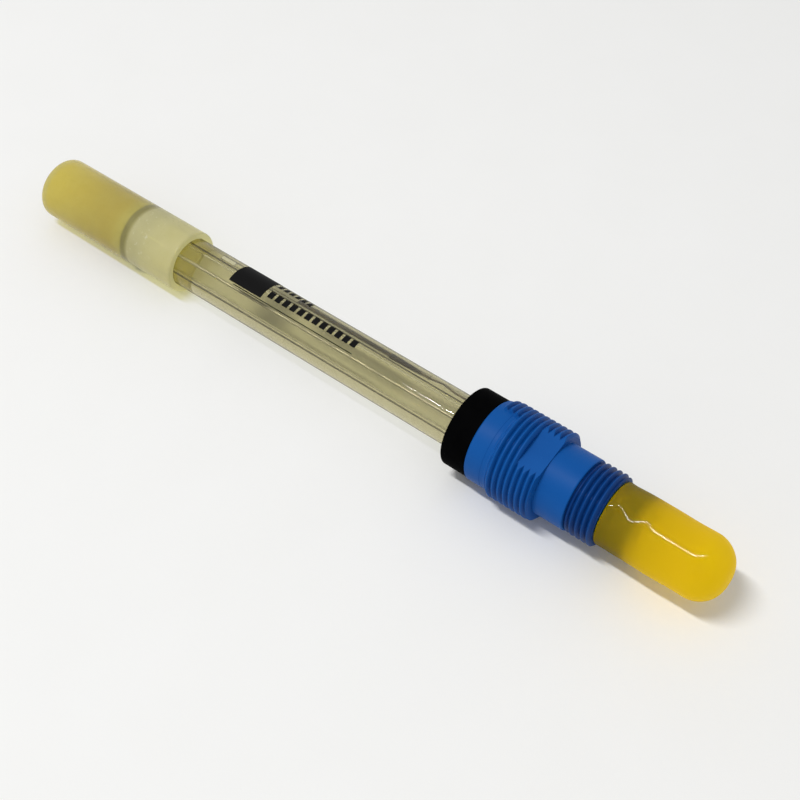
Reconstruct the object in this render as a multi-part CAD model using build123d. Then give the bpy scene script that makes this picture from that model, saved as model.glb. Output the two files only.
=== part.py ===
from build123d import *
from math import cos, radians, sin, tan
import os

# Combination pH electrode with a 120 mm glass shaft, a screw-in plug head and both of its pull-off caps.
# Millimetres. The electrode lies along X. The origin is on its axis, in the plane of the seat that the
# thrust ring presses on a holder. The glass tip points to -X, the plug to +X, and +Z is up.

# Glass shaft and the blown stem inside it
shaft_d = 12.0
shaft_wall = 1.1
insertion_length = 120.0
shaft_in_head = 14.5
stem_share = 0.55
stem_wall = 0.7
stem_past_shaft = 2.0
bulb_wall = 0.5
bulb_neck_length = 8.0
bulb_shoulder_length = 3.5

# Ring diaphragm between shaft and bulb
diaphragm_wall = 0.9
diaphragm_flange_length = 2.2
diaphragm_spigot_length = 3.2
diaphragm_edge_round = 0.3
bulb_reach = 6.6

# What fills and feeds the stem
buffer_top = -16.0
element_d = 1.0
element_length = 17.0
element_to_bulb = 2.6
element_end_round = 0.3
lead_d = 0.5
stem_plug_length = 5.0

# Reference system between stem and shaft
gel_top = 1.0
cartridge_wall = 0.2
cartridge_share = 0.55
cartridge_start = -72.2
cartridge_end = -12.0
cartridge_tip_length = 10.0
cartridge_turn = -42.0
paste_start = -49.0
wad_length = 4.0
reference_wire_d = 0.4
wire_kink = 0.45
wire_kink_start = 0.3
wire_kink_run = 3.2
wire_turn_off = 2.0
stopper_length = 11.0

# Thrust ring and the ring seal in its nose
thrust_ring_length = 6.2
ring_edge_round = 0.4
seal_section_d = 2.0
seal_lip = 1.092
seal_recess_depth = 2.3
collar_over_ring = 0.2

# Plug head: collar, Pg 13.5 thread with two spanner flats, round neck
thread_pitch = 1.411
thread_flank = 40.0
thread_crest_land = 0.25
thread_root_land = 0.04
thread_count = 8
thread_run_in = 2.0
thread_end_gap = 0.45
full_turns = 4
collar_under_root = 0.18
collar_length = 4.0
collar_chamfer = 0.3
relief_depth = 0.25
relief_slope = 0.4
neck_d = 16.4
neck_length = 7.2
flat_over_neck = 0.3
flats_turn = 14.5
head_bore_shoulder = 0.5
cavity_d = 13.2

# Coaxial connector
coupling_d = 16.3
coupling_pitch = 1.35
coupling_crest_land = 0.16
coupling_turns = 4
coupling_start_land = 0.82
coupling_end_land = 0.43
barrel_length = 7.6
spigot_length = 5.6
sleeve_wall = 1.08
contact_wall = 0.7
contact_bore_d = 8.6
contact_setback = 0.5
insulator_rear = 1.2
insulator_front_setback = 5.5
pin_d = 2.4
pin_setback = 1.4
pin_nose_land = 0.3
potting_gap = 0.1

# Storage cap, its seal ring and the solution in it
cap_length = 43.9
cap_wall = 1.25
cap_clearance = 0.3
cap_end_wall = 1.3
cap_to_tip = 2.5
cap_end_round = 1.6
cap_inner_round = 0.8
cap_grip_length = 3.0
cap_grip_lead = 0.5
cap_mouth_round = 0.5
cap_seal_to_mouth = 14.9
cap_seal_width = 1.6
cap_groove_depth = 0.5

# Dust cap over the connector
dust_wall = 1.0
dust_length = 26.5
dust_end_flat_r = 0.96
dust_mouth_gap = 0.15

# Clearances
fit = 0.02
slip = 0.06


def ridge_height(pitch, crest_land):
    """Height of thread ridges whose flanks fill the pitch between a crest land and a root land."""
    return (pitch - crest_land - thread_root_land) / 2 / tan(radians(thread_flank))


# Shaft, stem and bulb
shaft_r = shaft_d / 2
shaft_bore_r = shaft_r - shaft_wall
stem_r = stem_share * shaft_bore_r
stem_bore_r = stem_r - stem_wall
bulb_r = shaft_bore_r - diaphragm_wall
tip_x = -insertion_length
dome_centre = tip_x + bulb_r
flange_face = tip_x + bulb_reach
shaft_start = flange_face + diaphragm_flange_length
spigot_end = shaft_start + diaphragm_spigot_length
neck_end = flange_face + bulb_neck_length
stem_end = shaft_in_head + stem_past_shaft
element_start = tip_x + bulb_wall + element_to_bulb
element_end = element_start + element_length

# Reference cartridge, midway in the space between stem and shaft
cartridge_r = cartridge_share * (shaft_bore_r - stem_r) / 2
cartridge_bore_r = cartridge_r - cartridge_wall
cartridge_offset = (shaft_bore_r + stem_r) / 2
cartridge_shoulder = cartridge_end - cartridge_tip_length
wire_r = reference_wire_d / 2
wire_start = (paste_start + cartridge_shoulder) / 2

# Head, from the shaft outwards through seal, thrust ring and collar to the thread, 20.4 mm over its crests
seal_ring_r = seal_section_d / 2
seal_recess_r = shaft_r + seal_section_d + 3 * fit
ring_r = seal_recess_r + seal_lip
collar_r = ring_r + collar_over_ring
root_r = collar_r + collar_under_root
thread_r = root_r + ridge_height(thread_pitch, thread_crest_land)
neck_r = neck_d / 2
flat_r = neck_r + flat_over_neck
cavity_r = cavity_d / 2
head_start = thrust_ring_length
collar_end = head_start + collar_length
first_crest = collar_end + thread_run_in
thread_end = first_crest + (thread_count - 1) * thread_pitch + thread_end_gap
flats_start = first_crest + (full_turns - 0.5) * thread_pitch
head_end = thread_end + neck_length
shaft_seat = shaft_in_head + head_bore_shoulder

# Connector, from the contact outwards to the sleeve and the dust cap
contact_bore_r = contact_bore_d / 2
contact_r = contact_bore_r + contact_wall
barrel_r = contact_r + fit + sleeve_wall
coupling_r = coupling_d / 2
coupling_root_r = coupling_r - ridge_height(coupling_pitch, coupling_crest_land)
pin_r = pin_d / 2
connector_start = head_end - spigot_length
coupling_start = head_end + coupling_start_land
coupling_end = coupling_start + coupling_turns * coupling_pitch + coupling_end_land
barrel_end = coupling_end + barrel_length
dust_bore_r = barrel_r + slip
dust_r = dust_bore_r + dust_wall
dust_mouth = coupling_end + dust_mouth_gap
dust_end = dust_mouth + dust_length
dust_end_round = dust_r - dust_end_flat_r

# Storage cap, from the glass outwards
cap_bore_r = shaft_r + cap_clearance
cap_r = cap_bore_r + cap_wall
cap_groove_r = cap_bore_r + cap_groove_depth
cap_inner_end = tip_x - cap_to_tip
cap_start = cap_inner_end - cap_end_wall
cap_mouth = cap_start + cap_length
groove_end = cap_mouth - cap_seal_to_mouth
groove_start = groove_end - cap_seal_width
grip_start = cap_mouth - cap_grip_length


def turned(corners, rounds=()):
    """Body of revolution about X: corners are (x, radius), rounds are (corner number, rounding radius)."""
    face = make_face(Polyline(*corners, close=True))
    for corner, radius in rounds:
        place = Vector(*corners[corner], 0)
        face = fillet(face.vertices().sort_by_distance(place)[0], radius)
    return revolve(face, Axis.X)


def tube(start, end, inner, outer):
    """Straight tube between two stations, or a rod where the inner radius is 0."""
    return turned([(start, inner), (start, outer), (end, outer), (end, inner)])


def around(offset, turn):
    """Y and Z of a point at a distance from the axis, turned from straight up towards -Y."""
    return (-offset * sin(radians(turn)), offset * cos(radians(turn)))


def ridges(start, count, pitch, crest_land, foot_r, crest_r):
    """Corners of thread ridges side by side, each with two sloping flanks and a narrow crest."""
    corners = []
    for turn in range(count):
        middle = start + (turn + 0.5) * pitch
        foot = (pitch - thread_root_land) / 2
        corners += [(middle - foot, foot_r), (middle - crest_land / 2, crest_r)]
        corners += [(middle + crest_land / 2, crest_r), (middle + foot, foot_r)]
    return corners


def glass_shaft():
    """Straight clear tube, open at both ends."""
    return tube(shaft_start, shaft_in_head, shaft_bore_r, shaft_r)


def blown_body(radius, tube_r):
    """Solid with a half-round end on a straight neck, drawn in by a shoulder to a long thinner stem."""
    dome = CenterArc((dome_centre, 0), radius, 90, 90)
    rest = Polyline((dome_centre, radius), (neck_end, radius), (neck_end + bulb_shoulder_length, tube_r),
                    (stem_end, tube_r), (stem_end, 0), (dome_centre - radius, 0))
    return revolve(make_face([dome, rest]), Axis.X)


def bulb_inside(gap):
    """The space inside the bulb and the stem, made smaller all round by a gap."""
    return blown_body(bulb_r - bulb_wall - gap, stem_bore_r - gap)


def membrane_stem():
    """Thin domed membrane blown on the end of the inner tube."""
    return blown_body(bulb_r, stem_r) - bulb_inside(0)


def diaphragm_ring():
    """Ring with a flange under the shaft's end and a spigot inside it."""
    bore = bulb_r + fit
    spigot = shaft_bore_r - fit
    return turned([(flange_face, bore), (flange_face, shaft_r), (shaft_start, shaft_r), (shaft_start, spigot),
                   (spigot_end, spigot), (spigot_end, bore)], [(1, diaphragm_edge_round)])


def sensing_element():
    """Coated silver rod that hangs in the bulb."""
    return turned([(element_start, 0), (element_start, element_d / 2), (element_end, element_d / 2),
                   (element_end, 0)], [(1, element_end_round)])


def signal_lead():
    """Thin wire from the sensing element along the axis to the tail of the centre pin."""
    return tube(element_end, connector_start - fit, 0, lead_d / 2)


def inner_buffer():
    """Buffer that fills the bulb and most of the stem around the element and its lead."""
    wet_length = buffer_top - tip_x
    body = bulb_inside(fit) & Pos(X=tip_x + wet_length / 2) * Box(wet_length, 2 * bulb_r, 2 * bulb_r)
    element = tube(element_start - fit, element_end + fit, 0, element_d / 2 + fit)
    return body - element - tube(element_end, stem_end, 0, lead_d / 2 + fit)


def stem_plug():
    """Plug that closes the stem around the signal lead."""
    return tube(stem_end - stem_plug_length, stem_end, lead_d / 2 + fit, stem_bore_r - fit)


def cartridge_place():
    """Moves a body turned about X onto the line of the reference cartridge."""
    return Pos(0, *around(cartridge_offset, cartridge_turn))


def cartridge_tube():
    """Fine glass tube, open towards the tip and drawn down on its wire at the other end."""
    nozzle = wire_r + fit
    return cartridge_place() * turned([
        (cartridge_start, cartridge_bore_r), (cartridge_start, cartridge_r), (cartridge_shoulder, cartridge_r),
        (cartridge_end, nozzle + cartridge_wall), (cartridge_end, nozzle), (cartridge_shoulder, cartridge_bore_r)])


def cartridge_wad():
    """Porous wad in the open end of the cartridge."""
    return cartridge_place() * tube(cartridge_start, cartridge_start + wad_length, 0, cartridge_bore_r - fit)


def cartridge_paste():
    """Silver chloride paste in the cartridge, around the end of the reference wire."""
    edge = cartridge_bore_r - fit
    end = cartridge_shoulder - fit
    return cartridge_place() * turned([(paste_start, 0), (paste_start, edge), (end, edge), (end, wire_r + fit),
                                       (wire_start, wire_r + fit), (wire_start, 0)])


def wire_route():
    """Middle line of the reference wire: straight in the paste, kinked above it, then to the contact."""
    line = around(cartridge_offset, cartridge_turn)
    kink = around(cartridge_offset + wire_kink, cartridge_turn)
    contact = around(contact_bore_r + contact_wall / 2, cartridge_turn)
    kink_start = cartridge_end + wire_kink_start
    turn_off = stem_end + wire_turn_off
    return [(wire_start + fit, *line), (kink_start, *line), (kink_start + wire_kink_run, *kink),
            (kink_start + 2 * wire_kink_run, *line), (turn_off, *line), (turn_off + wire_turn_off, *contact),
            (connector_start - fit, *contact)]


def round_wire(radius):
    """Round wire of a radius along the reference wire's route."""
    line = Polyline(*wire_route())
    start = Plane(line @ 0, z_dir=line % 0)
    return sweep(start * Circle(radius), path=line, transition=Transition.RIGHT)


def reference_wire():
    """Silver wire from the cartridge to the outer contact."""
    return round_wire(wire_r)


def reference_gel():
    """Gel between stem and shaft, with the space of the cartridge and the wire left out."""
    ring = tube(spigot_end + fit, gel_top, stem_r + fit, shaft_bore_r - fit)
    wide = cartridge_r + fit
    nozzle = wire_r + cartridge_wall + 2 * fit
    cartridge = cartridge_place() * turned([
        (cartridge_start - fit, 0), (cartridge_start - fit, wide), (cartridge_shoulder, wide),
        (cartridge_end + fit, nozzle), (cartridge_end + fit, 0)])
    return ring - blown_body(bulb_r + fit, stem_r + fit) - cartridge - round_wire(wire_r + fit)


def shaft_stopper():
    """Rubber stopper that closes the gel space, pierced by stem and wire."""
    start = gel_top + fit
    body = tube(start, start + stopper_length, stem_r + fit, shaft_bore_r - fit)
    return body - round_wire(wire_r + fit)


def shaft_seal_ring():
    """Round rubber ring on the shaft, in the nose of the thrust ring."""
    middle = seal_recess_depth - seal_ring_r - fit
    section = Pos(middle, shaft_r + fit + seal_ring_r) * Circle(seal_ring_r)
    return revolve(section, Axis.X)


def thrust_ring():
    """Black ring that carries the seal on a recess in its front face."""
    bore = shaft_r + slip
    return turned([(0, seal_recess_r), (0, ring_r), (thrust_ring_length, ring_r), (thrust_ring_length, bore),
                   (seal_recess_depth, bore), (seal_recess_depth, seal_recess_r)],
                  [(1, ring_edge_round), (2, ring_edge_round / 2)])


def head_body():
    """Collar, ridged thread with two opposite flats and round neck, bored for the shaft and the connector."""
    bore = shaft_r + slip
    thread_start = first_crest - thread_pitch / 2
    relief_r = root_r - relief_depth
    corners = [(head_start, bore), (head_start, collar_r - collar_chamfer), (head_start + collar_chamfer, collar_r),
               (collar_end, collar_r), (collar_end + relief_slope, relief_r), (thread_start, relief_r)]
    corners += ridges(thread_start, thread_count, thread_pitch, thread_crest_land, root_r, thread_r)[:-1]
    corners += [(thread_end, root_r), (thread_end, neck_r), (head_end, neck_r), (head_end, cavity_r),
                (shaft_seat, cavity_r), (shaft_seat, bore)]
    body = turned(corners)
    length = thread_end - flats_start
    flat_cut = Pos(flats_start + length / 2, 0, flat_r + thread_r / 2) * Box(length, 2 * thread_r, thread_r)
    for side in (0, 180):
        body -= Rot(X=flats_turn + side) * flat_cut
    return body


def potting():
    """Resin that fills the head behind the glass, around stem, lead and wire."""
    end = connector_start - potting_gap
    body = tube(shaft_seat, end, 0, cavity_r - fit)
    stem = tube(shaft_seat, stem_end + fit, 0, stem_r + fit)
    return body - stem - tube(stem_end, end, 0, lead_d / 2 + fit) - round_wire(wire_r + fit)


def connector_sleeve():
    """Dark threaded sleeve of the plug, with a spigot in the head and a plain barrel in front."""
    bore = contact_r + fit
    spigot = cavity_r - fit
    corners = [(connector_start, bore), (connector_start, spigot), (head_end, spigot), (head_end, coupling_root_r)]
    corners += ridges(coupling_start, coupling_turns, coupling_pitch, coupling_crest_land, coupling_root_r, coupling_r)
    corners += [(coupling_end, coupling_root_r), (coupling_end, barrel_r), (barrel_end, barrel_r),
                (barrel_end, bore)]
    return turned(corners)


def outer_contact():
    """Metal tube that lines the sleeve."""
    return tube(connector_start, barrel_end - contact_setback, contact_bore_r, contact_r)


def insulator():
    """White plug between the contact tube and the centre pin."""
    return tube(connector_start + insulator_rear, barrel_end - insulator_front_setback, pin_r + fit,
                contact_bore_r - fit)


def centre_pin():
    """Round-nosed contact pin, soldered on the signal lead."""
    end = barrel_end - pin_setback
    return turned([(connector_start, 0), (connector_start, pin_r), (end, pin_r), (end, 0)],
                  [(2, pin_r - pin_nose_land)])


def storage_cap():
    """Closed tube with a grip land at its mouth and a groove for its seal ring."""
    grip = shaft_r + slip
    return turned([(cap_start, 0), (cap_start, cap_r), (cap_mouth, cap_r), (cap_mouth, grip), (grip_start, grip),
                   (grip_start - cap_grip_lead, cap_bore_r), (groove_end, cap_bore_r), (groove_end, cap_groove_r),
                   (groove_start, cap_groove_r), (groove_start, cap_bore_r), (cap_inner_end, cap_bore_r),
                   (cap_inner_end, 0)],
                  [(1, cap_end_round), (2, cap_mouth_round), (10, cap_inner_round)])


def cap_seal_ring():
    """Dark ring in the cap's groove that keeps the solution at the tip."""
    return tube(groove_start + fit, groove_end - fit, shaft_r + slip, cap_groove_r - fit)


def storage_solution():
    """Salt solution between the closed end of the cap and its seal ring, around the tip."""
    start = cap_inner_end + fit
    edge = cap_bore_r - fit
    body = turned([(start, 0), (start, edge), (groove_start, edge), (groove_start, 0)], [(1, cap_inner_round)])
    tip = blown_body(bulb_r + slip, stem_r)
    return body - tip - tube(flange_face - slip, cap_mouth, 0, shaft_r + slip)


def dust_cap():
    """Soft dipped cap, open at the mouth and closed by a rounded end."""
    inner_end = dust_end - dust_wall
    return turned([(dust_mouth, dust_bore_r), (dust_mouth, dust_r), (dust_end, dust_r), (dust_end, 0),
                   (inner_end, 0), (inner_end, dust_bore_r)],
                  [(2, dust_end_round), (5, dust_end_round - dust_wall)])


makers = [glass_shaft, membrane_stem, diaphragm_ring, sensing_element, signal_lead, inner_buffer, stem_plug,
          cartridge_tube, cartridge_wad, cartridge_paste, reference_wire, reference_gel, shaft_stopper,
          shaft_seal_ring, thrust_ring, head_body, potting, connector_sleeve, outer_contact, insulator,
          centre_pin, storage_cap, cap_seal_ring, storage_solution, dust_cap]

os.makedirs("parts", exist_ok=True)
for maker in makers:
    export_step(maker(), f"parts/{maker.__name__}.step")
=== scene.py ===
import bpy
import numpy as np
from math import radians
from mathutils import Matrix, Vector


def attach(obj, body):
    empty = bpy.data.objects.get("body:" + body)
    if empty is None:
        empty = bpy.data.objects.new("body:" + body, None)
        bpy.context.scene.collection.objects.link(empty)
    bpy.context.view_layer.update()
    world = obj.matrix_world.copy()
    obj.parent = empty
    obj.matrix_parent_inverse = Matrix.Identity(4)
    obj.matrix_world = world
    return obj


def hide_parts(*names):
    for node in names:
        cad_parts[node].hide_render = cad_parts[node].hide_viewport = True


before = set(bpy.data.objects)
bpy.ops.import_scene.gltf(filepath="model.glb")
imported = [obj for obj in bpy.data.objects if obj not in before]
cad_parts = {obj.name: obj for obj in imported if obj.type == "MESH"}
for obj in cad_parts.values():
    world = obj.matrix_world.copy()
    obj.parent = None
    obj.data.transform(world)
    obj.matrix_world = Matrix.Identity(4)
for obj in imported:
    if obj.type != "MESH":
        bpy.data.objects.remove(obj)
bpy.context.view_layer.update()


# Camera
# It looks down on the electrode from its near side, past the plug, at the photograph's own angle. Light may
# cross as many clear layers and glass walls as lie one behind the other in the shaft.
eye_place = (0.1082, -0.1622, 0.2243)
eye_right = (0.78255, 0.62250, 0.01075)
eye_down = (0.46884, -0.57784, -0.66805)
eye_forward = (-0.40965, 0.52783, -0.74404)
eye_lens = 63.5
see_through_layers = 24
glass_walls = 16

scene = bpy.context.scene


def put(name, data):
    """A new object of that name in the scene."""
    made = bpy.data.objects.new(name, data)
    scene.collection.objects.link(made)
    return made


camera = put("camera", bpy.data.cameras.new("camera"))
camera.data.lens = eye_lens
axes = (eye_right, [-c for c in eye_down], [-c for c in eye_forward], eye_place)
camera.matrix_world = Matrix([[axis[row] for axis in axes] for row in range(3)] + [[0, 0, 0, 1]])
scene.camera = camera
scene.view_settings.view_transform = "Standard"
scene.cycles.transparent_max_bounces = see_through_layers
scene.cycles.transmission_bounces = glass_walls
scene.cycles.max_bounces = glass_walls


# Floor, room and lamp
# A pale board that the thread and the storage cap both rest on, under one long soft lamp in a plain bright
# room. The lamp lies along the electrode, so that it shines in the dust cap as one thin line.
floor_under_thread = -10.2
floor_thread_place = 11.6
floor_slope = 0.01983
floor_half_width = 1500.0
floor_colour = (0.92, 0.92, 0.91, 1)
floor_shade = (0.90, 0.90, 0.885, 1)
room_level = 0.50
lamp_direction = (-0.2, -0.34, 0.92)
lamp_distance = 1.3
lamp_length = 0.62
lamp_width = 0.075
lamp_power = 9.0


class Wire:
    """A socket in a node tree. Sums, products and powers of wires and numbers add their Math nodes."""

    def __init__(self, tree, socket=None):
        self.tree = tree
        self.socket = socket

    def make(self, kind, settings=None, sockets=None, output=0):
        """Adds a node: its settings first, then each socket's value or wire. Gives back the output named."""
        node = self.tree.nodes.new(kind)
        for name, value in (settings or {}).items():
            setattr(node, name, value)
        for name, value in (sockets or {}).items():
            if isinstance(value, Wire):
                self.tree.links.new(value.socket, node.inputs[name])
            else:
                node.inputs[name].default_value = value
        return Wire(self.tree, node.outputs[output] if len(node.outputs) else None)

    def math(self, operation, *others, swapped=False):
        """A Math node on this wire and others, its first two inputs changed over where swapped."""
        values = [self, *others]
        if swapped:
            values[:2] = values[1::-1]
        return self.make("ShaderNodeMath", {"operation": operation}, dict(enumerate(values)))

    def __add__(self, other):
        return self.math("ADD", other)

    def __rsub__(self, other):
        return self.math("SUBTRACT", other, swapped=True)

    def __mul__(self, other):
        return self.math("MULTIPLY", other)

    def __pow__(self, other):
        return self.math("POWER", other)

    __radd__ = __add__
    __rmul__ = __mul__


def new_material(name):
    """An empty material, and a wire that its nodes start from."""
    material = bpy.data.materials.new(name)
    material.use_nodes = True
    material.node_tree.nodes.clear()
    return material, Wire(material.node_tree)


def surface_of(wire, shader):
    """Makes this shader the material's surface."""
    wire.make("ShaderNodeOutputMaterial", {}, {"Surface": shader})


def stretched(wire, stretch):
    """The piece's own coordinates in metres, each times its stretch."""
    place = wire.make("ShaderNodeTexCoord", output=3)
    return wire.make("ShaderNodeMapping", {}, {"Vector": place, "Scale": stretch})


def noise(wire, scale, detail=3.0, stretch=(1, 1, 1), roughness=0.5):
    """Noise from 0 to 1, with so many lumps to the metre."""
    return wire.make("ShaderNodeTexNoise", {}, {"Vector": stretched(wire, stretch), "Scale": scale,
                                                "Detail": detail, "Roughness": roughness})


def between(wire, share, first, second):
    """Colour that goes from the first to the second as the share goes from 0 to 1."""
    return wire.make("ShaderNodeMix", {"data_type": "RGBA"}, {0: share, 6: first, 7: second}, output=2)


def principled(wire, sockets):
    """The main surface shader, with these sockets set."""
    return wire.make("ShaderNodeBsdfPrincipled", {}, sockets)


def bump(wire, strength, distance, height):
    """Normal of a skin that rises with the height, as far as the distance in metres where the height is 1."""
    return wire.make("ShaderNodeBump", {}, {"Strength": strength, "Distance": distance, "Height": height})


def light_path(wire, *kinds):
    """1 for the kinds of ray named, 0 for the others."""
    found = None
    for kind in kinds:
        ray = wire.make("ShaderNodeLightPath", output=kind)
        found = ray if found is None else found.math("MAXIMUM", ray)
    return found


corner = floor_half_width * np.array([[-1, -1], [1, -1], [1, 1], [-1, 1]])
height = floor_under_thread + (floor_thread_place - corner[:, 0]) * floor_slope
floor_mesh = bpy.data.meshes.new("floor")
floor_mesh.from_pydata((0.001 * np.column_stack([corner, height])).tolist(), [], [(0, 1, 2, 3)])
put("floor", floor_mesh)
board, wire = new_material("pale_board")
tone = between(wire, noise(wire, 60.0), floor_colour, floor_shade)
surface_of(wire, principled(wire, {
    "Base Color": tone, "Roughness": 0.9, "Specular IOR Level": 0.1,
    "Normal": bump(wire, 0.08, 0.0002, noise(wire, 2500.0))}))
floor_mesh.materials.append(board)

world = bpy.data.worlds.new("room")
world.use_nodes = True
world.node_tree.nodes.clear()
wire = Wire(world.node_tree)
seen = light_path(wire, "Is Camera Ray", "Is Glossy Ray", "Is Transmission Ray")
room = wire.make("ShaderNodeBackground", {}, {
    "Color": (1, 1, 1, 1), "Strength": room_level + (1 - room_level) * seen})
wire.make("ShaderNodeOutputWorld", {}, {"Surface": room})
scene.world = world

lamp = put("lamp", bpy.data.lights.new("lamp", "AREA"))
lamp.data.shape = "ELLIPSE"
lamp.data.size = lamp_length
lamp.data.size_y = lamp_width
lamp.data.energy = lamp_power
to_lamp = Vector(lamp_direction).normalized()
across_lamp = to_lamp.cross(Vector((1, 0, 0))).normalized()
lamp.location = to_lamp * lamp_distance
lamp.rotation_euler = Matrix((across_lamp.cross(to_lamp), across_lamp, to_lamp)).transposed().to_euler()


# Glass shaft
# Clear drawn glass tube, 12 mm across, full of gel. Its wetted bore doesn't show, so that glass and gel
# together bend light as one rod does, and what stands in the gel looks wider than it is.
shaft_r = 6.0
shaft_bore_r = 4.9
shaft_start = -111.2
shaft_in_head = 14.5
rod_bending = 1.38
glass_tint = (0.97, 0.975, 0.95, 1)
smear_tint = (0.95, 0.955, 0.92, 1)
lit_glass_tint = (0.93, 0.93, 0.90, 1)
round_steps = 160


def round_axis(x, r, turn):
    """Points at station x and radius r, turned about X from straight up towards -Y: (x, -r sin, r cos)."""
    x, r, turn = np.broadcast_arrays(x, r, turn)
    return np.stack([x, -r * np.sin(turn), r * np.cos(turn)], -1)


def turns(count):
    """Angles once round, in as many equal steps."""
    return np.arange(count) * 2 * np.pi / count


def piece(name, rows, body, materials, stands_for=(), poles=None, sharp=32.0):
    """Mesh piece from rows of points round the axis, in millimetres. Each row is joined to the next in quads.
    The last row joins the first, or else each end row closes on its own pole point in triangles."""
    count, around = rows.shape[:2]
    points = rows.reshape(-1, 3)
    number = np.arange(count * around).reshape(count, around)
    upper = number if poles is None else number[:-1]
    lower = np.roll(number, -1, 0) if poles is None else number[1:]
    faces = np.stack([upper, np.roll(upper, -1, 1), np.roll(lower, -1, 1), lower], -1).reshape(-1, 4).tolist()
    if poles is not None:
        points = np.vstack([points, poles])
        first, last = number[0], number[-1]
        faces += np.stack([np.full(around, len(points) - 2), np.roll(first, -1), first], -1).tolist()
        faces += np.stack([np.full(around, len(points) - 1), last, np.roll(last, -1)], -1).tolist()
    mesh = bpy.data.meshes.new(name)
    mesh.from_pydata((0.001 * points).tolist(), [], faces)
    corners = np.array([face[:3] + face[-1:] for face in faces])
    first, second, third, fourth = points[corners].transpose(1, 0, 2)
    if (first * (np.cross(second, third) + np.cross(third, fourth))).sum() < 0:
        mesh.flip_normals()
    mesh.shade_smooth()
    mesh.set_sharp_from_angle(angle=radians(sharp))
    for material in materials:
        mesh.materials.append(material)
    made = put(name, mesh)
    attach(made, body)
    if stands_for:
        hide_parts(*stands_for)
    return made


def lathe(corners, count=round_steps):
    """Rows for a profile of (x, radius) corners carried round the axis."""
    profile = np.array(corners, float)
    return round_axis(profile[:, :1], profile[:, 1:], turns(count)[None, :])


def line_walls(made, first, last, around):
    """Gives the second material to the quads from one row of the piece to another, and to its last ring of
    faces, which close it."""
    index = np.zeros(len(made.data.polygons), int)
    index[first * around:last * around] = 1
    index[len(index) - around:] = 1
    made.data.polygons.foreach_set("material_index", index)


def rising(value, start, end):
    """0 below start, 1 above end, and a smooth rise between."""
    return value.make("ShaderNodeMapRange", {"interpolation_type": "SMOOTHSTEP"}, {
        "Value": value, "From Min": start, "From Max": end})


def painted_edge_shade(wire, start, end):
    """Painted shade line where a round glass wall is seen edge on: 0 face on, 1 where it has turned away."""
    return rising(wire.make("ShaderNodeLayerWeight", {}, {"Blend": 0.5}, output=1), start, end)


def mixed(wire, share, first, second):
    """Mix Shader from the first shader to the second as the share goes from 0 to 1."""
    return wire.make("ShaderNodeMixShader", {}, {0: share, 1: first, 2: second})


def clear(wire, tint):
    """Transparent shader of one tint."""
    return wire.make("ShaderNodeBsdfTransparent", {}, {"Color": tint})


def clear_where_lit(wire, shader, tint):
    """Lets lamp light and soft bounce light straight through, so a clear piece throws no black shadow."""
    return mixed(wire, light_path(wire, "Is Shadow Ray", "Is Diffuse Ray"), shader, clear(wire, tint))


drawn_glass, wire = new_material("drawn_glass")
streaks = noise(wire, 900.0, 2.0, (0.02, 1, 1))
smear = noise(wire, 70.0, 4.0, (0.6, 1, 1)).math("SMOOTH_MIN", 0.5, 0.1)
glass = principled(wire, {
    "Base Color": between(wire, smear, smear_tint, glass_tint), "Roughness": 0.0, "IOR": rod_bending,
    "Specular IOR Level": 0.3, "Transmission Weight": 1.0, "Normal": bump(wire, 0.02, 0.0002, streaks)})
# Painted shade: a dark brown line is painted along the tube's edges, where the glass is seen edge on.
line = principled(wire, {
    "Base Color": (0.05, 0.042, 0.012, 1), "Roughness": 0.5, "Specular IOR Level": 0.02})
glass = mixed(wire, 0.7 * painted_edge_shade(wire, 0.66, 0.92), glass, line)
surface_of(wire, clear_where_lit(wire, glass, lit_glass_tint))

wetted_bore, wire = new_material("wetted_bore")
film = noise(wire, 300.0, 2.0, (0.1, 1, 1))
surface_of(wire, mixed(wire, film, clear(wire, (1, 1, 1, 1)), clear(wire, (0.985, 0.985, 0.96, 1))))

shaft_rows = lathe([(shaft_start, shaft_bore_r), (shaft_start, shaft_r), (shaft_in_head, shaft_r),
                    (shaft_in_head, shaft_bore_r)])
shaft = piece("glass_tube", shaft_rows, "electrode", [drawn_glass, wetted_bore],
              ["glass_shaft"])
line_walls(shaft, len(shaft_rows) - 1, len(shaft_rows), round_steps)


# Gel
# Pale yellow electrolyte gel that fills the space between stem and shaft. Stem and cartridge stand in it.
gel_r = 4.88
gel_start = -107.98
gel_end = 1.0
gel_chamfer = 0.3
gel_steps = 96
# Painted shade: both tints are deeper than the gel's own yellow, standing in for the shaded ground seen
# through the shaft.
gel_and_shade_tint = (0.70, 0.665, 0.50, 1)
pale_gel_and_shade_tint = (0.80, 0.77, 0.62, 1)
gel_haze = (0.50, 0.44, 0.24, 1)


def lit_through(*made):
    """Lets lamp light and soft bounce light pass these pieces, as gel and liquid throw no dark shadow."""
    for thing in made:
        thing.visible_shadow = False
        thing.visible_diffuse = False


soft_gel, wire = new_material("soft_gel")
cloud = noise(wire, 220.0, 4.0, (0.12, 1, 1))
tinted = mixed(wire, cloud, clear(wire, gel_and_shade_tint), clear(wire, pale_gel_and_shade_tint))
murky = principled(wire, {
    "Base Color": gel_haze, "Roughness": 0.4, "Specular IOR Level": 0.1})
surface_of(wire, mixed(wire, 0.03 * cloud ** 2, tinted, murky))
gel_rows = lathe([(gel_start, gel_r - gel_chamfer), (gel_start + gel_chamfer, gel_r),
                  (gel_end - gel_chamfer, gel_r), (gel_end, gel_r - gel_chamfer)], gel_steps)
gel = piece("gel_filling", gel_rows, "electrode", [soft_gel], ["reference_gel"],
            poles=[(gel_start, 0, 0), (gel_end, 0, 0)])
lit_through(gel)


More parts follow.
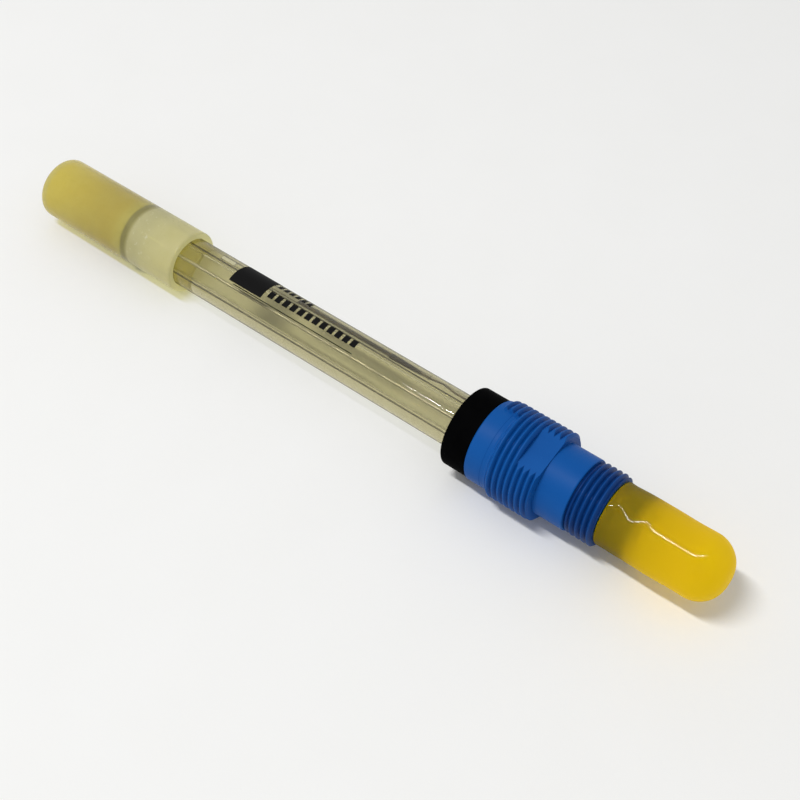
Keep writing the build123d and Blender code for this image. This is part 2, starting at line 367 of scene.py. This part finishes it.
# Stem, bulb and diaphragm
# The inner tube with the thin domed membrane blown on its end, and the ring of porous white plastic between
# the membrane and the shaft.
stem_bending = 1.12
stem_wall_inside_r = 2.15
stem_wall_outside_r = 2.6


def wear(name, material):
    """Gives a node of the frame this material."""
    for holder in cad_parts[name].material_slots:
        holder.material = material


def off_axis(wire):
    """Distance from the electrode's axis, in metres."""
    across = stretched(wire, (0, 1, 1))
    return wire.make("ShaderNodeVectorMath", {"operation": "LENGTH"}, {0: across}, output=1)


def blown_glass(wire, edge_shade_share):
    """Clear thin glass with a painted dark shade line along its edges, as strong as the share says."""
    streaks = noise(wire, 500.0, 2.0, (0.05, 1, 1))
    glass = principled(wire, {
        "Base Color": between(wire, streaks, (0.97, 0.97, 0.94, 1), (1, 1, 0.98, 1)),
        "Roughness": 0.0, "IOR": stem_bending, "Transmission Weight": 1.0, "Specular IOR Level": 0.2})
    line = principled(wire, {
        "Base Color": (0.035, 0.026, 0.006, 1), "Roughness": 0.5, "Specular IOR Level": 0.02})
    return mixed(wire, edge_shade_share * painted_edge_shade(wire, 0.5, 0.72), glass, line)


thin_glass, wire = new_material("thin_glass")
# The painted edge shade line is stronger on the stem's outer wall than on its bore.
outer_wall = rising(off_axis(wire), 0.001 * stem_wall_inside_r, 0.001 * stem_wall_outside_r)
surface_of(wire, blown_glass(wire, 0.12 + 0.68 * outer_wall))
wear("membrane_stem", thin_glass)
lit_through(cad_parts["membrane_stem"])

porous_white, wire = new_material("porous_white")
pores = noise(wire, 6000.0, 4.0)
surface_of(wire, principled(wire, {
    "Base Color": between(wire, pores, (0.80, 0.79, 0.73, 1), (0.93, 0.93, 0.90, 1)), "Roughness": 0.75,
    "Normal": bump(wire, 0.3, 0.0001, pores)}))
wear("diaphragm_ring", porous_white)


# Buffer, lead and sensing element
# Pale buffer in the bulb and stem, and in it the coated silver rod that hangs from its thin lead.
buffer_liquid, wire = new_material("buffer_liquid")
swirl = noise(wire, 300.0, 3.0)
surface_of(wire, mixed(wire, swirl, clear(wire, (0.985, 0.985, 0.955, 1)), clear(wire, (1, 1, 0.985, 1))))
wear("inner_buffer", buffer_liquid)
lit_through(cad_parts["inner_buffer"])


def drawn_silver(name, dark, light):
    """Silver wire with fine drawing marks along it and a tarnish between two shades."""
    material, wire = new_material(name)
    drawn = noise(wire, 1500.0, 3.0, (0.08, 1, 1))
    stain_and_painted_shade = noise(wire, 350.0, 4.0)
    surface_of(wire, principled(wire, {
        "Base Color": between(wire, stain_and_painted_shade, dark, light), "Metallic": 0.6, "Roughness": 0.35 + 0.3 * drawn,
        "Normal": bump(wire, 0.2, 0.00005, drawn)}))
    return material


wear("signal_lead", drawn_silver("bright_silver", (0.30, 0.28, 0.22, 1), (0.62, 0.60, 0.54, 1)))
wear("sensing_element", drawn_silver("coated_silver", (0.16, 0.13, 0.10, 1), (0.34, 0.30, 0.25, 1)))
wear("reference_wire", drawn_silver("tarnished_silver", (0.05, 0.04, 0.02, 1), (0.18, 0.15, 0.10, 1)))


# Reference cartridge
# Fine glass tube with a white wad in its open end and brown silver chloride paste round the wire.
# The paste smears the narrow end of the tube brown.
smear_start = -23.0
smear_full = -22.2
smear_thins = -19.0
smear_end = -12.5


def past(wire, start, end):
    """0 before one station on the axis, 1 past another, a smooth rise between. Stations in millimetres."""
    station = wire.make("ShaderNodeSeparateXYZ", {}, {"Vector": stretched(wire, (1, 1, 1))})
    return rising(station, 0.001 * start, 0.001 * end)


stained_glass, wire = new_material("stained_glass")
smear = past(wire, smear_start, smear_full) * (1 - past(wire, smear_thins, smear_end))
streaks = noise(wire, 900.0, 4.0, (0.2, 1, 1))
stain_and_painted_shade = principled(wire, {
    "Base Color": between(wire, streaks, (0.02, 0.014, 0.003, 1), (0.06, 0.045, 0.012, 1)), "Roughness": 0.7})
surface_of(wire, mixed(wire, 0.85 * smear, blown_glass(wire, 0.75), stain_and_painted_shade))
wear("cartridge_tube", stained_glass)
lit_through(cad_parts["cartridge_tube"])

cotton_wad, wire = new_material("cotton_wad")
fibres = noise(wire, 4000.0, 5.0, (0.3, 1, 1))
surface_of(wire, principled(wire, {
    "Base Color": between(wire, fibres, (0.66, 0.64, 0.50, 1), (0.88, 0.86, 0.74, 1)), "Roughness": 0.9,
    "Normal": bump(wire, 0.5, 0.0001, fibres)}))
wear("cartridge_wad", cotton_wad)

brown_paste, wire = new_material("brown_paste")
lumps = noise(wire, 1200.0, 5.0, (0.25, 1, 1))
surface_of(wire, principled(wire, {
    "Base Color": between(wire, lumps, (0.020, 0.014, 0.002, 1), (0.060, 0.045, 0.008, 1)), "Roughness": 0.7,
    "Normal": bump(wire, 0.4, 0.0001, lumps)}))
wear("cartridge_paste", brown_paste)


# Rubber parts
# Moulded rubber, dull and faintly mottled: the plugs of stem and shaft, and the two seal rings.
def rubber(name, dark, light, roughness):
    """Dull rubber whose tone wanders between two shades, with a fine moulded skin."""
    material, wire = new_material(name)
    bloom = noise(wire, 260.0, 4.0)
    skin = noise(wire, 5000.0, 2.0)
    surface_of(wire, principled(wire, {
        "Base Color": between(wire, bloom, dark, light), "Roughness": roughness + 0.15 * bloom,
        "Specular IOR Level": 0.3,
        "Normal": bump(wire, 0.15, 0.00005, skin)}))
    return material


grey_rubber = rubber("grey_rubber_skin", (0.16, 0.16, 0.15, 1), (0.28, 0.28, 0.26, 1), 0.6)
black_rubber = rubber("black_rubber_skin", (0.006, 0.006, 0.006, 1), (0.02, 0.02, 0.018, 1), 0.45)
wear("stem_plug", grey_rubber)
wear("shaft_stopper", grey_rubber)
wear("shaft_seal_ring", black_rubber)
wear("cap_seal_ring", black_rubber)


# Printing on the shaft
# Fired black ink on the glass: a black field with rows of plain bars beside it. One thin dark line below them
# is drawn in the same black.
ink_lift = 0.004
ink_thickness = 0.025
print_field = (-65.0, -55.5, -52.0, 26.0)
thin_dark_line = (-63.4, -28.8, 28.6, 30.6)
tall_bar = (-54.4, -52.9, -2.0, 16.0)
tall_bar_step = 2.16
tall_bar_count = 12
short_bar = (-54.6, -53.5, -38.0, -21.0)
short_bar_step = 1.7
short_bar_count = 6
degrees_a_step = 2


def ink_patch(start, end, from_turn, to_turn):
    """Rows of a thin curved slab on the glass, between two stations and two angles, closed all round."""
    steps = max(2, int((to_turn - from_turn) / degrees_a_step))
    turn = np.radians(np.linspace(from_turn, to_turn, steps))
    low, high = shaft_r + ink_lift, shaft_r + ink_lift + ink_thickness
    ring = [(start, low), (start, high), (end, high), (end, low)]
    return np.stack([round_axis(x, r, turn) for x, r in ring], 1)


def bar_row(first, step, count):
    """The first bar and its copies, each a step further along."""
    start, end, from_turn, to_turn = first
    return [ink_patch(start + step * place, end + step * place, from_turn, to_turn) for place in range(count)]


def ink_piece(name, patches):
    """All patches as one mesh: each slab is a bent box, its long sides in quads and its two ends closed."""
    points, faces = np.zeros((0, 3)), []
    for patch in patches:
        steps = len(patch)
        number = len(points) + np.arange(4 * steps).reshape(steps, 4)
        points = np.vstack([points, patch.reshape(-1, 3)])
        here, after = number[:-1], number[1:]
        sides = np.stack([here, np.roll(here, -1, 1), np.roll(after, -1, 1), after], -1).reshape(-1, 4)
        faces += sides[:, ::-1].tolist() + [number[0].tolist(), number[-1, ::-1].tolist()]
    mesh = bpy.data.meshes.new(name)
    mesh.from_pydata((0.001 * points).tolist(), [], faces)
    mesh.materials.append(black_ink)
    made = put(name, mesh)
    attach(made, "electrode")


black_ink, wire = new_material("black_ink")
worn = noise(wire, 3500.0, 3.0)
surface_of(wire, principled(wire, {
    "Base Color": between(wire, worn, (0.002, 0.002, 0.002, 1), (0.008, 0.008, 0.008, 1)),
    "Roughness": 0.5 + 0.2 * worn, "Specular IOR Level": 0.05}))
ink_piece("print_field", [ink_patch(*print_field)])
ink_piece("thin_dark_line", [ink_patch(*thin_dark_line)])
ink_piece("print_bars", bar_row(tall_bar, tall_bar_step, tall_bar_count)
          + bar_row(short_bar, short_bar_step, short_bar_count))


# Thrust ring
# Turned black plastic ring in front of the head, dull, with a fine turned skin.
ring_plastic, wire = new_material("ring_plastic")
turned_skin = noise(wire, 700.0, 3.0, (6, 1, 1))
surface_of(wire, principled(wire, {
    "Base Color": between(wire, noise(wire, 400.0), (0.0006, 0.0006, 0.0007, 1), (0.0022, 0.0022, 0.0023, 1)),
    "Roughness": 0.5 + 0.15 * turned_skin, "Specular IOR Level": 0.004,
    "Normal": bump(wire, 0.1, 0.00005, turned_skin)}))
wear("thrust_ring", ring_plastic)


# Head
# One moulding in blue glass-filled plastic: plain collar, right-hand Pg 13.5 thread that is full for four
# turns and then cut by two spanner flats, and a round neck. On the far half the thread runs over the collar.
thread_r = 10.2
thread_pitch = 1.411
thread_root_r = 9.532
crest_land = 0.25
root_land = 0.04
collar_r = 9.352
collar_start = 6.2
collar_end = 10.2
collar_chamfer = 0.3
relief_r = 9.282
first_crest = 12.2
root_rise = 0.4
near_thread_start = 11.45
far_thread_start = 7.4
far_half_middle = -90.0
far_half_width = 77.0
far_half_slope = 2.5
thread_run_in = 0.7
thread_run_out = 0.25
thread_end = 22.527
flats_start = 17.14
flat_r = 8.5
flats_turn = 14.5
neck_r = 8.2
head_end = 29.727
neck_round = 0.3
neck_rows = 14
head_steps = 252
thread_row = 0.0941
flats_first_row = 0.09
flats_last_row = 0.05
square_step = 0.004
same_wall = 0.01
head_bore_r = 6.06
cavity_r = 6.6
shaft_seat = 15.0
blue_light = (0.006, 0.094, 0.36, 1)
blue_dark = (0.001, 0.068, 0.29, 1)
blue_groove_shade = (0.0007, 0.044, 0.205, 1)


def ridge(x, turn, first, pitch, land, low, high):
    """Height of a right-hand thread: high on the crest land, falling evenly down both flanks to low."""
    off = np.mod(x - first - pitch * turn / (2 * np.pi) + pitch / 2, pitch) - pitch / 2
    foot = (pitch - root_land) / 2
    return low + (high - low) * np.clip((foot - np.abs(off)) / (foot - land / 2), 0, 1)


def ease(value, start, end):
    """0 before start, 1 after end, and a smooth rise between."""
    share = np.clip((value - start) / (end - start), 0, 1)
    return share * share * (3 - 2 * share)


def far_half(turn):
    """1 on the far half of the head, 0 on the near half, with a short slope between."""
    away = np.abs((np.degrees(turn) - far_half_middle + 180) % 360 - 180)
    return 1 - ease(away, far_half_width, far_half_width + far_half_slope)


def head_radius(x, turn):
    """The thread over collar and relief, cut down to the flats and the neck behind them."""
    base = np.where(x < collar_end, collar_r, relief_r)
    base = base + (thread_root_r - relief_r) * ease(x, near_thread_start - root_rise, near_thread_start)
    start = near_thread_start + (far_thread_start - near_thread_start) * far_half(turn)
    full = ease(x, start, start + thread_run_in) * ease(-x, -thread_end, -thread_end + thread_run_out)
    wall = ridge(x, turn, first_crest, thread_pitch, crest_land, thread_root_r, thread_r)
    wall = base + np.maximum(wall - base, 0) * full
    for side in (0, np.pi):
        plane = flat_r / np.maximum(np.cos(turn - radians(flats_turn) - side), 0.1)
        wall = np.where(x > flats_start, np.minimum(wall, plane), wall)
    return np.where(x > thread_end, neck_r, wall)


def shade_grooves(made, depth):
    """Stores how deep each point lies between two ridges, from 0 on a crest to 1, for the painted groove
    shade to read.
    """
    stored = made.data.attributes.new("groove_shade", "FLOAT", "POINT")
    stored.data.foreach_set("value", depth.ravel().astype(np.float32))


def painted_groove_shade(wire):
    """The depth that shade_grooves stored, which sets the painted shade in the grooves."""
    return wire.make("ShaderNodeAttribute", {"attribute_name": "groove_shade"}, output=2)


head_x = np.concatenate([np.linspace(collar_start + collar_chamfer, far_thread_start, 6)[:-1],
                         np.arange(far_thread_start, flats_start, thread_row),
                         [flats_start, flats_start + square_step],
                         np.arange(flats_start + flats_first_row, thread_end - flats_last_row, thread_row),
                         [thread_end, thread_end + square_step],
                         np.linspace(thread_end + neck_round, head_end - neck_round, neck_rows)])[:, None]
turn = turns(head_steps)[None, :]
wall = head_radius(head_x, turn)
outside = round_axis(head_x, wall, turn)
front = round_axis(collar_start, collar_r - collar_chamfer, turn)
edge = np.radians(np.linspace(20, 90, 5))[:, None]
rear = round_axis(head_end - neck_round + neck_round * np.sin(edge),
                  neck_r - neck_round + neck_round * np.cos(edge), turn)
inside = lathe([(head_end, cavity_r), (shaft_seat, cavity_r), (shaft_seat, head_bore_r),
                (collar_start, head_bore_r)], head_steps)

blue_moulding, wire = new_material("blue_moulding")
flow = noise(wire, 160.0, 4.0, (0.5, 1, 1))
specks = noise(wire, 3800.0, 2.0)
tone = between(wire, flow, blue_dark, blue_light)
tone = between(wire, specks ** 3, tone, blue_light)
# Painted shade: the thread's grooves are painted a darker blue, the more so the deeper they lie.
tone = between(wire, painted_groove_shade(wire), tone, blue_groove_shade)
surface_of(wire, principled(wire, {
    "Base Color": tone, "Roughness": 0.38 + 0.18 * flow, "Specular IOR Level": 0.09,
    "Normal": bump(wire, 0.12, 0.00006, specks)}))
head_rows = np.concatenate([front, outside, rear, inside])
head = piece("threaded_head", head_rows, "electrode", [blue_moulding], ["head_body"],
             sharp=24.0)
crest = ridge(head_x, turn, first_crest, thread_pitch, crest_land, thread_root_r, thread_r)
threaded = (wall > relief_r) & (np.abs(wall - crest) < same_wall) & (head_x < thread_end)
groove_shade = np.zeros(head_rows.shape[:2])
groove_shade[len(front):len(front) + len(outside)] = threaded * (thread_r - wall) / (thread_r - thread_root_r)
shade_grooves(head, groove_shade)


# Potting
# Dark resin poured behind the glass, with a glossy top.
cast_resin, wire = new_material("cast_resin")
streaks = noise(wire, 240.0, 3.0)
surface_of(wire, principled(wire, {
    "Base Color": between(wire, streaks, (0.05, 0.045, 0.03, 1), (0.10, 0.09, 0.065, 1)),
    "Roughness": 0.12 + 0.1 * streaks}))
wear("potting", cast_resin)


# Connector sleeve
# Dark blue turned plastic sleeve: coarse right-hand thread for the plug's nut, then a plain barrel.
coupling_r = 8.15
coupling_root_r = 7.465
coupling_pitch = 1.35
coupling_land = 0.16
coupling_crest = 31.222
coupling_start = 30.25
coupling_end = 36.377
coupling_run_in = 0.35
coupling_run_out = 0.3
coupling_row = 0.09
sleeve_steps = 192
barrel_r = 6.1
barrel_end = 43.977
barrel_chamfer = 0.35
barrel_middle_row = 39.377
sleeve_bore_r = 5.02
sleeve_start = 24.127
spigot_r = 6.58
navy = (0.0010, 0.042, 0.195, 1)
navy_light = (0.0030, 0.060, 0.255, 1)
navy_groove_shade = (0.0005, 0.022, 0.120, 1)

sleeve_x = np.arange(head_end, coupling_end, coupling_row)[:, None]
turn = turns(sleeve_steps)[None, :]
crest = ridge(sleeve_x, turn, coupling_crest, coupling_pitch, coupling_land, coupling_root_r, coupling_r)
full = ease(sleeve_x, coupling_start - coupling_run_in, coupling_start + coupling_run_in)
full = full * ease(-sleeve_x, -coupling_end, -coupling_end + coupling_run_out)
rise = (crest - coupling_root_r) * full
thread = round_axis(sleeve_x, coupling_root_r + rise, turn)
barrel = lathe([(coupling_end, coupling_root_r), (coupling_end + square_step, barrel_r),
                (barrel_middle_row, barrel_r), (barrel_end - barrel_chamfer, barrel_r),
                (barrel_end, barrel_r - barrel_chamfer), (barrel_end, sleeve_bore_r),
                (sleeve_start, sleeve_bore_r), (sleeve_start, spigot_r), (head_end - square_step, spigot_r)],
               sleeve_steps)

navy_turning, wire = new_material("navy_turning")
rings = noise(wire, 500.0, 3.0, (5, 1, 1))
tone = between(wire, noise(wire, 300.0, 4.0), navy, navy_light)
surface_of(wire, principled(wire, {
    # Painted shade: the thread's grooves are painted a darker navy, the more so the deeper they lie.
    "Base Color": between(wire, painted_groove_shade(wire), tone, navy_groove_shade),
    "Roughness": 0.34 + 0.2 * rings, "Specular IOR Level": 0.12,
    "Normal": bump(wire, 0.12, 0.00005, rings)}))
sleeve_rows = np.concatenate([thread, barrel])
sleeve = piece("coupling_sleeve", sleeve_rows, "electrode", [navy_turning],
               ["connector_sleeve"], sharp=24.0)
groove_shade = np.zeros(sleeve_rows.shape[:2])
groove_shade[:len(thread)] = 1 - rise / (coupling_r - coupling_root_r)
shade_grooves(sleeve, groove_shade)


# Contacts
# Nickel-plated contact tube, gilt pin and the white insulator between them, all turned.
def turned_metal(name, dull, bright, roughness):
    """Metal with fine turning marks across the axis and a wandering tarnish."""
    material, wire = new_material(name)
    marks = noise(wire, 900.0, 3.0, (8, 1, 1))
    tarnish = noise(wire, 350.0, 4.0)
    surface_of(wire, principled(wire, {
        "Base Color": between(wire, tarnish, dull, bright), "Metallic": 1.0,
        "Roughness": roughness + 0.2 * marks, "Normal": bump(wire, 0.15, 0.00004, marks)}))
    return material


wear("outer_contact", turned_metal("plated_contact", (0.52, 0.51, 0.47, 1), (0.70, 0.69, 0.66, 1), 0.2))
wear("centre_pin", turned_metal("gilt_pin", (0.62, 0.45, 0.17, 1), (0.86, 0.67, 0.30, 1), 0.15))

white_plug, wire = new_material("white_plug")
chalk = noise(wire, 800.0, 4.0)
surface_of(wire, principled(wire, {
    "Base Color": between(wire, chalk, (0.78, 0.77, 0.72, 1), (0.90, 0.90, 0.87, 1)), "Roughness": 0.45,
    "Normal": bump(wire, 0.1, 0.00005, chalk)}))
wear("insulator", white_plug)


# Dust cap
# Yellow vinyl cap, dipped, so its wall wavers a little and its end is rounded. It is thin enough for the dark
# barrel of the sleeve to show through where it grips, and its colour is painted darker there too, as painted
# shade.
dust_mouth = 36.527
dust_end = 63.027
dust_r = 7.16
dust_bore_r = 6.16
dust_end_round = 6.2
dust_wall = 1.0
mouth_round = 0.45
bore_chamfer = 0.15
dust_steps = 240
dust_rows = 90
pole_r = 0.6
side_start = 37.127
side_end_gap = 0.3
waves_from = 36.827
waves_full = 38.527
end_waves_r = 1.0
side_waves_r = 6.0
dents = [(38.8, -11.0, 1.05), (42.1, 6.5, 1.0), (45.1, -8.5, 1.0), (58.8, -20.0, 1.2)]
dent_turn = 28.0
dent_width = 0.36
waver = 0.05
yellow = (0.74, 0.50, 0.0008, 1)
yellow_deep = (0.68, 0.45, 0.0005, 1)
yellow_through = (0.91, 0.77, 0.003, 1)
yellow_painted_shade = (0.50, 0.38, 0.0004, 1)
lining_tint = (1, 0.97, 0.55, 1)
painted_shade_thins = 41.477
painted_shade_end = 47.477


def arc(middle_x, middle_r, radius, from_angle, to_angle, count=9):
    """(x, radius) points on an arc: x goes with the cosine and the radius with the sine."""
    angle = np.radians(np.linspace(from_angle, to_angle, count))
    return np.column_stack([middle_x + radius * np.cos(angle), middle_r + radius * np.sin(angle)])


def glowing(wire, colour):
    """Shader that passes light on to its other side, softened and coloured."""
    return wire.make("ShaderNodeBsdfTranslucent", {}, {"Color": colour})


def wavering(x, turn):
    """Slow lumps round the cap, and dents that tilt the skin round the line where the lamp shows: at each
    place the slope there is the dent's angle, and dies away to both sides and along the cap."""
    lumps = np.sin(2 * turn + 0.35 * x) + 0.6 * np.sin(3 * turn - 0.5 * x + 1) + 0.4 * np.sin(0.8 * x)
    lumps = waver * lumps
    off = (turn - radians(dent_turn) + np.pi) % (2 * np.pi) - np.pi
    for place, angle, width in dents:
        tilt = dust_r * radians(angle) * off * np.exp(-(off / dent_width) ** 2)
        lumps = lumps + tilt * np.exp(-((x - place) / width) ** 2)
    return lumps


turn = turns(dust_steps)[None, :]
end_middle = dust_end - dust_end_round
end_middle_r = dust_r - dust_end_round
side = np.linspace(end_middle - side_end_gap, side_start, dust_rows)
skin = np.vstack([[(dust_end, pole_r)], arc(end_middle, end_middle_r, dust_end_round, 0, 90, 16),
                  np.column_stack([side, np.full(dust_rows, dust_r)])])
rim = arc(dust_mouth + mouth_round, dust_r - mouth_round, mouth_round, 90, 180, 6)
lining = np.vstack([[(dust_mouth, dust_bore_r + bore_chamfer), (dust_mouth + bore_chamfer, dust_bore_r),
                     (end_middle, dust_bore_r)],
                    arc(end_middle, end_middle_r, dust_end_round - dust_wall, 80, 0, 10),
                    [(dust_end - dust_wall, pole_r)]])
fade = ease(skin[:, 0], waves_from, waves_full) * ease(skin[:, 1], end_waves_r, side_waves_r)
outer = round_axis(skin[:, :1], skin[:, 1:] + fade[:, None] * wavering(skin[:, :1], turn), turn)
inner = lathe(np.vstack([rim, lining]), dust_steps)

yellow_vinyl, wire = new_material("yellow_vinyl")
blotch = noise(wire, 140.0, 4.0)
skin_grain = noise(wire, 1300.0, 3.0)
vinyl = principled(wire, {
    "Base Color": between(wire, blotch, yellow_deep, yellow), "Roughness": 0.035 + 0.03 * skin_grain,
    "Specular IOR Level": 0.42, "Coat Weight": 0.5, "Coat Roughness": 0.03,
    "Normal": bump(wire, 0.05, 0.0001, skin_grain)})
# Painted shade: near the mouth, over the barrel, the light the vinyl passes on is painted a darker yellow.
stain_and_painted_shade = 1 - past(wire, painted_shade_thins, painted_shade_end)
through = mixed(wire, 0.5 * stain_and_painted_shade, glowing(wire, yellow_through), glowing(wire, yellow_painted_shade))
surface_of(wire, mixed(wire, 0.82 + 0.06 * blotch, vinyl, through))

vinyl_lining, wire = new_material("vinyl_lining")
blotch = noise(wire, 140.0, 4.0)
matt = principled(wire, {
    "Base Color": between(wire, blotch, yellow_deep, yellow), "Roughness": 0.5, "Specular IOR Level": 0.2})
surface_of(wire, mixed(wire, 0.90 + 0.06 * blotch, matt, clear(wire, lining_tint)))
cap_poles = [(dust_end, 0, 0), (dust_end - dust_wall, 0, 0)]
cap = piece("yellow_dust_cap", np.concatenate([outer, inner]), "dust_cap_body",
            [yellow_vinyl, vinyl_lining], ["dust_cap"], poles=cap_poles, sharp=50.0)
line_walls(cap, len(outer) + len(rim) - 1, len(outer) + len(inner) - 1, dust_steps)


# Storage cap
# Milky vinyl cap with a closed end, half clear, with a grip land at its mouth and a groove for its seal ring.
cap_start = -123.8
cap_mouth = -79.9
cap_r = 7.55
cap_bore_r = 6.3
cap_end_round = 1.6
cap_inner_end = -122.5
cap_inner_round = 0.8
cap_mouth_round = 0.5
cap_mouth_chamfer = 0.1
cap_side_start = -120.8
cap_side_end = -80.9
grip_r = 6.06
grip_start = -82.9
grip_lead = 0.5
groove_start = -96.4
groove_end = -94.8
groove_r = 6.8
cap_steps = 144
cap_side_rows = 40
wet_end = -94.9
dry_start = -93.4
drops_thin = -90.0
drops_end = -85.0

side = np.linspace(cap_side_start, cap_side_end, cap_side_rows)
outer = np.vstack([[(cap_start, pole_r)],
                   arc(cap_start + cap_end_round, cap_r - cap_end_round, cap_end_round, 180, 90, 10),
                   np.column_stack([side, np.full(cap_side_rows, cap_r)]),
                   arc(cap_mouth - cap_mouth_round, cap_r - cap_mouth_round, cap_mouth_round, 90, 0, 6)])
inner = np.vstack([[(cap_mouth, grip_r + cap_mouth_chamfer), (cap_mouth - cap_mouth_chamfer, grip_r),
                    (grip_start, grip_r), (grip_start - grip_lead, cap_bore_r), (groove_end, cap_bore_r),
                    (groove_end - square_step, groove_r), (groove_start + square_step, groove_r),
                    (groove_start, cap_bore_r)],
                   arc(cap_inner_end + cap_inner_round, cap_bore_r - cap_inner_round, cap_inner_round,
                       90, 180, 6),
                   [(cap_inner_end, pole_r)]])
cap_rows = lathe(np.vstack([outer, inner]), cap_steps)

milky_vinyl, wire = new_material("milky_vinyl")
haze = noise(wire, 180.0, 4.0)
skin_grain = noise(wire, 1600.0, 3.0)
dry = past(wire, wet_end, dry_start)
drops = rising(noise(wire, 900.0, 3.0), 0.60, 0.76) * dry * (1 - past(wire, drops_thin, drops_end))
glassy = principled(wire, {
    "Base Color": (0.95, 0.93, 0.74, 1), "Roughness": 0.10 + 0.08 * skin_grain, "IOR": 1.36,
    "Transmission Weight": 1.0})
milk_tone = between(wire, dry, (0.74, 0.64, 0.17, 1), (0.73, 0.68, 0.33, 1))
pale_tone = between(wire, dry, (0.78, 0.70, 0.26, 1), (0.83, 0.79, 0.48, 1))
milk = principled(wire, {
    "Base Color": between(wire, drops, between(wire, haze, milk_tone, pale_tone), (0.90, 0.89, 0.76, 1)),
    "Roughness": 0.22 + 0.15 * skin_grain, "Specular IOR Level": 0.35,
    "Normal": bump(wire, 0.06, 0.0001, skin_grain)})
body = mixed(wire, 0.4, milk, glowing(wire, (0.93, 0.90, 0.52, 1)))
vinyl = mixed(wire, 0.34 + 0.08 * haze + 0.36 * dry + 0.1 * drops, glassy, body)
surface_of(wire, clear_where_lit(wire, vinyl, (0.80, 0.78, 0.52, 1)))

vinyl_bore, wire = new_material("vinyl_bore")
drops = noise(wire, 900.0, 3.0)
surface_of(wire, mixed(wire, 0.04 + 0.3 * drops ** 3, clear(wire, (0.98, 0.97, 0.86, 1)),
                       glowing(wire, (0.93, 0.90, 0.60, 1))))
cap_poles = [(cap_start, 0, 0), (cap_inner_end, 0, 0)]
cap = piece("milky_storage_cap", cap_rows, "storage_cap_body",
            [milky_vinyl, vinyl_bore], ["storage_cap"], poles=cap_poles, sharp=40.0)
line_walls(cap, len(outer), len(cap_rows) - 1, cap_steps)


# Storage solution
# Old salt solution in the closed end of the cap, ochre and a little cloudy. Its colour is painted darker
# towards the seal ring, as painted shade, and paler again right beside it, as a painted glow.
painted_shade_from = -121.0
painted_shade_to = -101.0
painted_glow_from = -100.5
painted_glow_to = -97.5

ochre_liquid, wire = new_material("ochre_liquid")
swirl = noise(wire, 120.0, 4.0)
# Painted shade and glow: darker along the cap towards the seal ring, then paler right beside it.
tone = between(wire, past(wire, painted_shade_from, painted_shade_to), (0.74, 0.63, 0.08, 1), (0.46, 0.35, 0.02, 1))
tone = between(wire, past(wire, painted_glow_from, painted_glow_to), tone, (0.50, 0.47, 0.20, 1))
tone = between(wire, 0.25 * swirl, tone, (0.70, 0.62, 0.20, 1))
cloudy = principled(wire, {
    "Base Color": tone, "Roughness": 0.25, "Specular IOR Level": 0.2})
body = mixed(wire, 0.3, cloudy, glowing(wire, (0.92, 0.80, 0.26, 1)))
surface_of(wire, mixed(wire, 0.80 + 0.1 * swirl, clear(wire, (0.80, 0.68, 0.24, 1)), body))
wear("storage_solution", ochre_liquid)
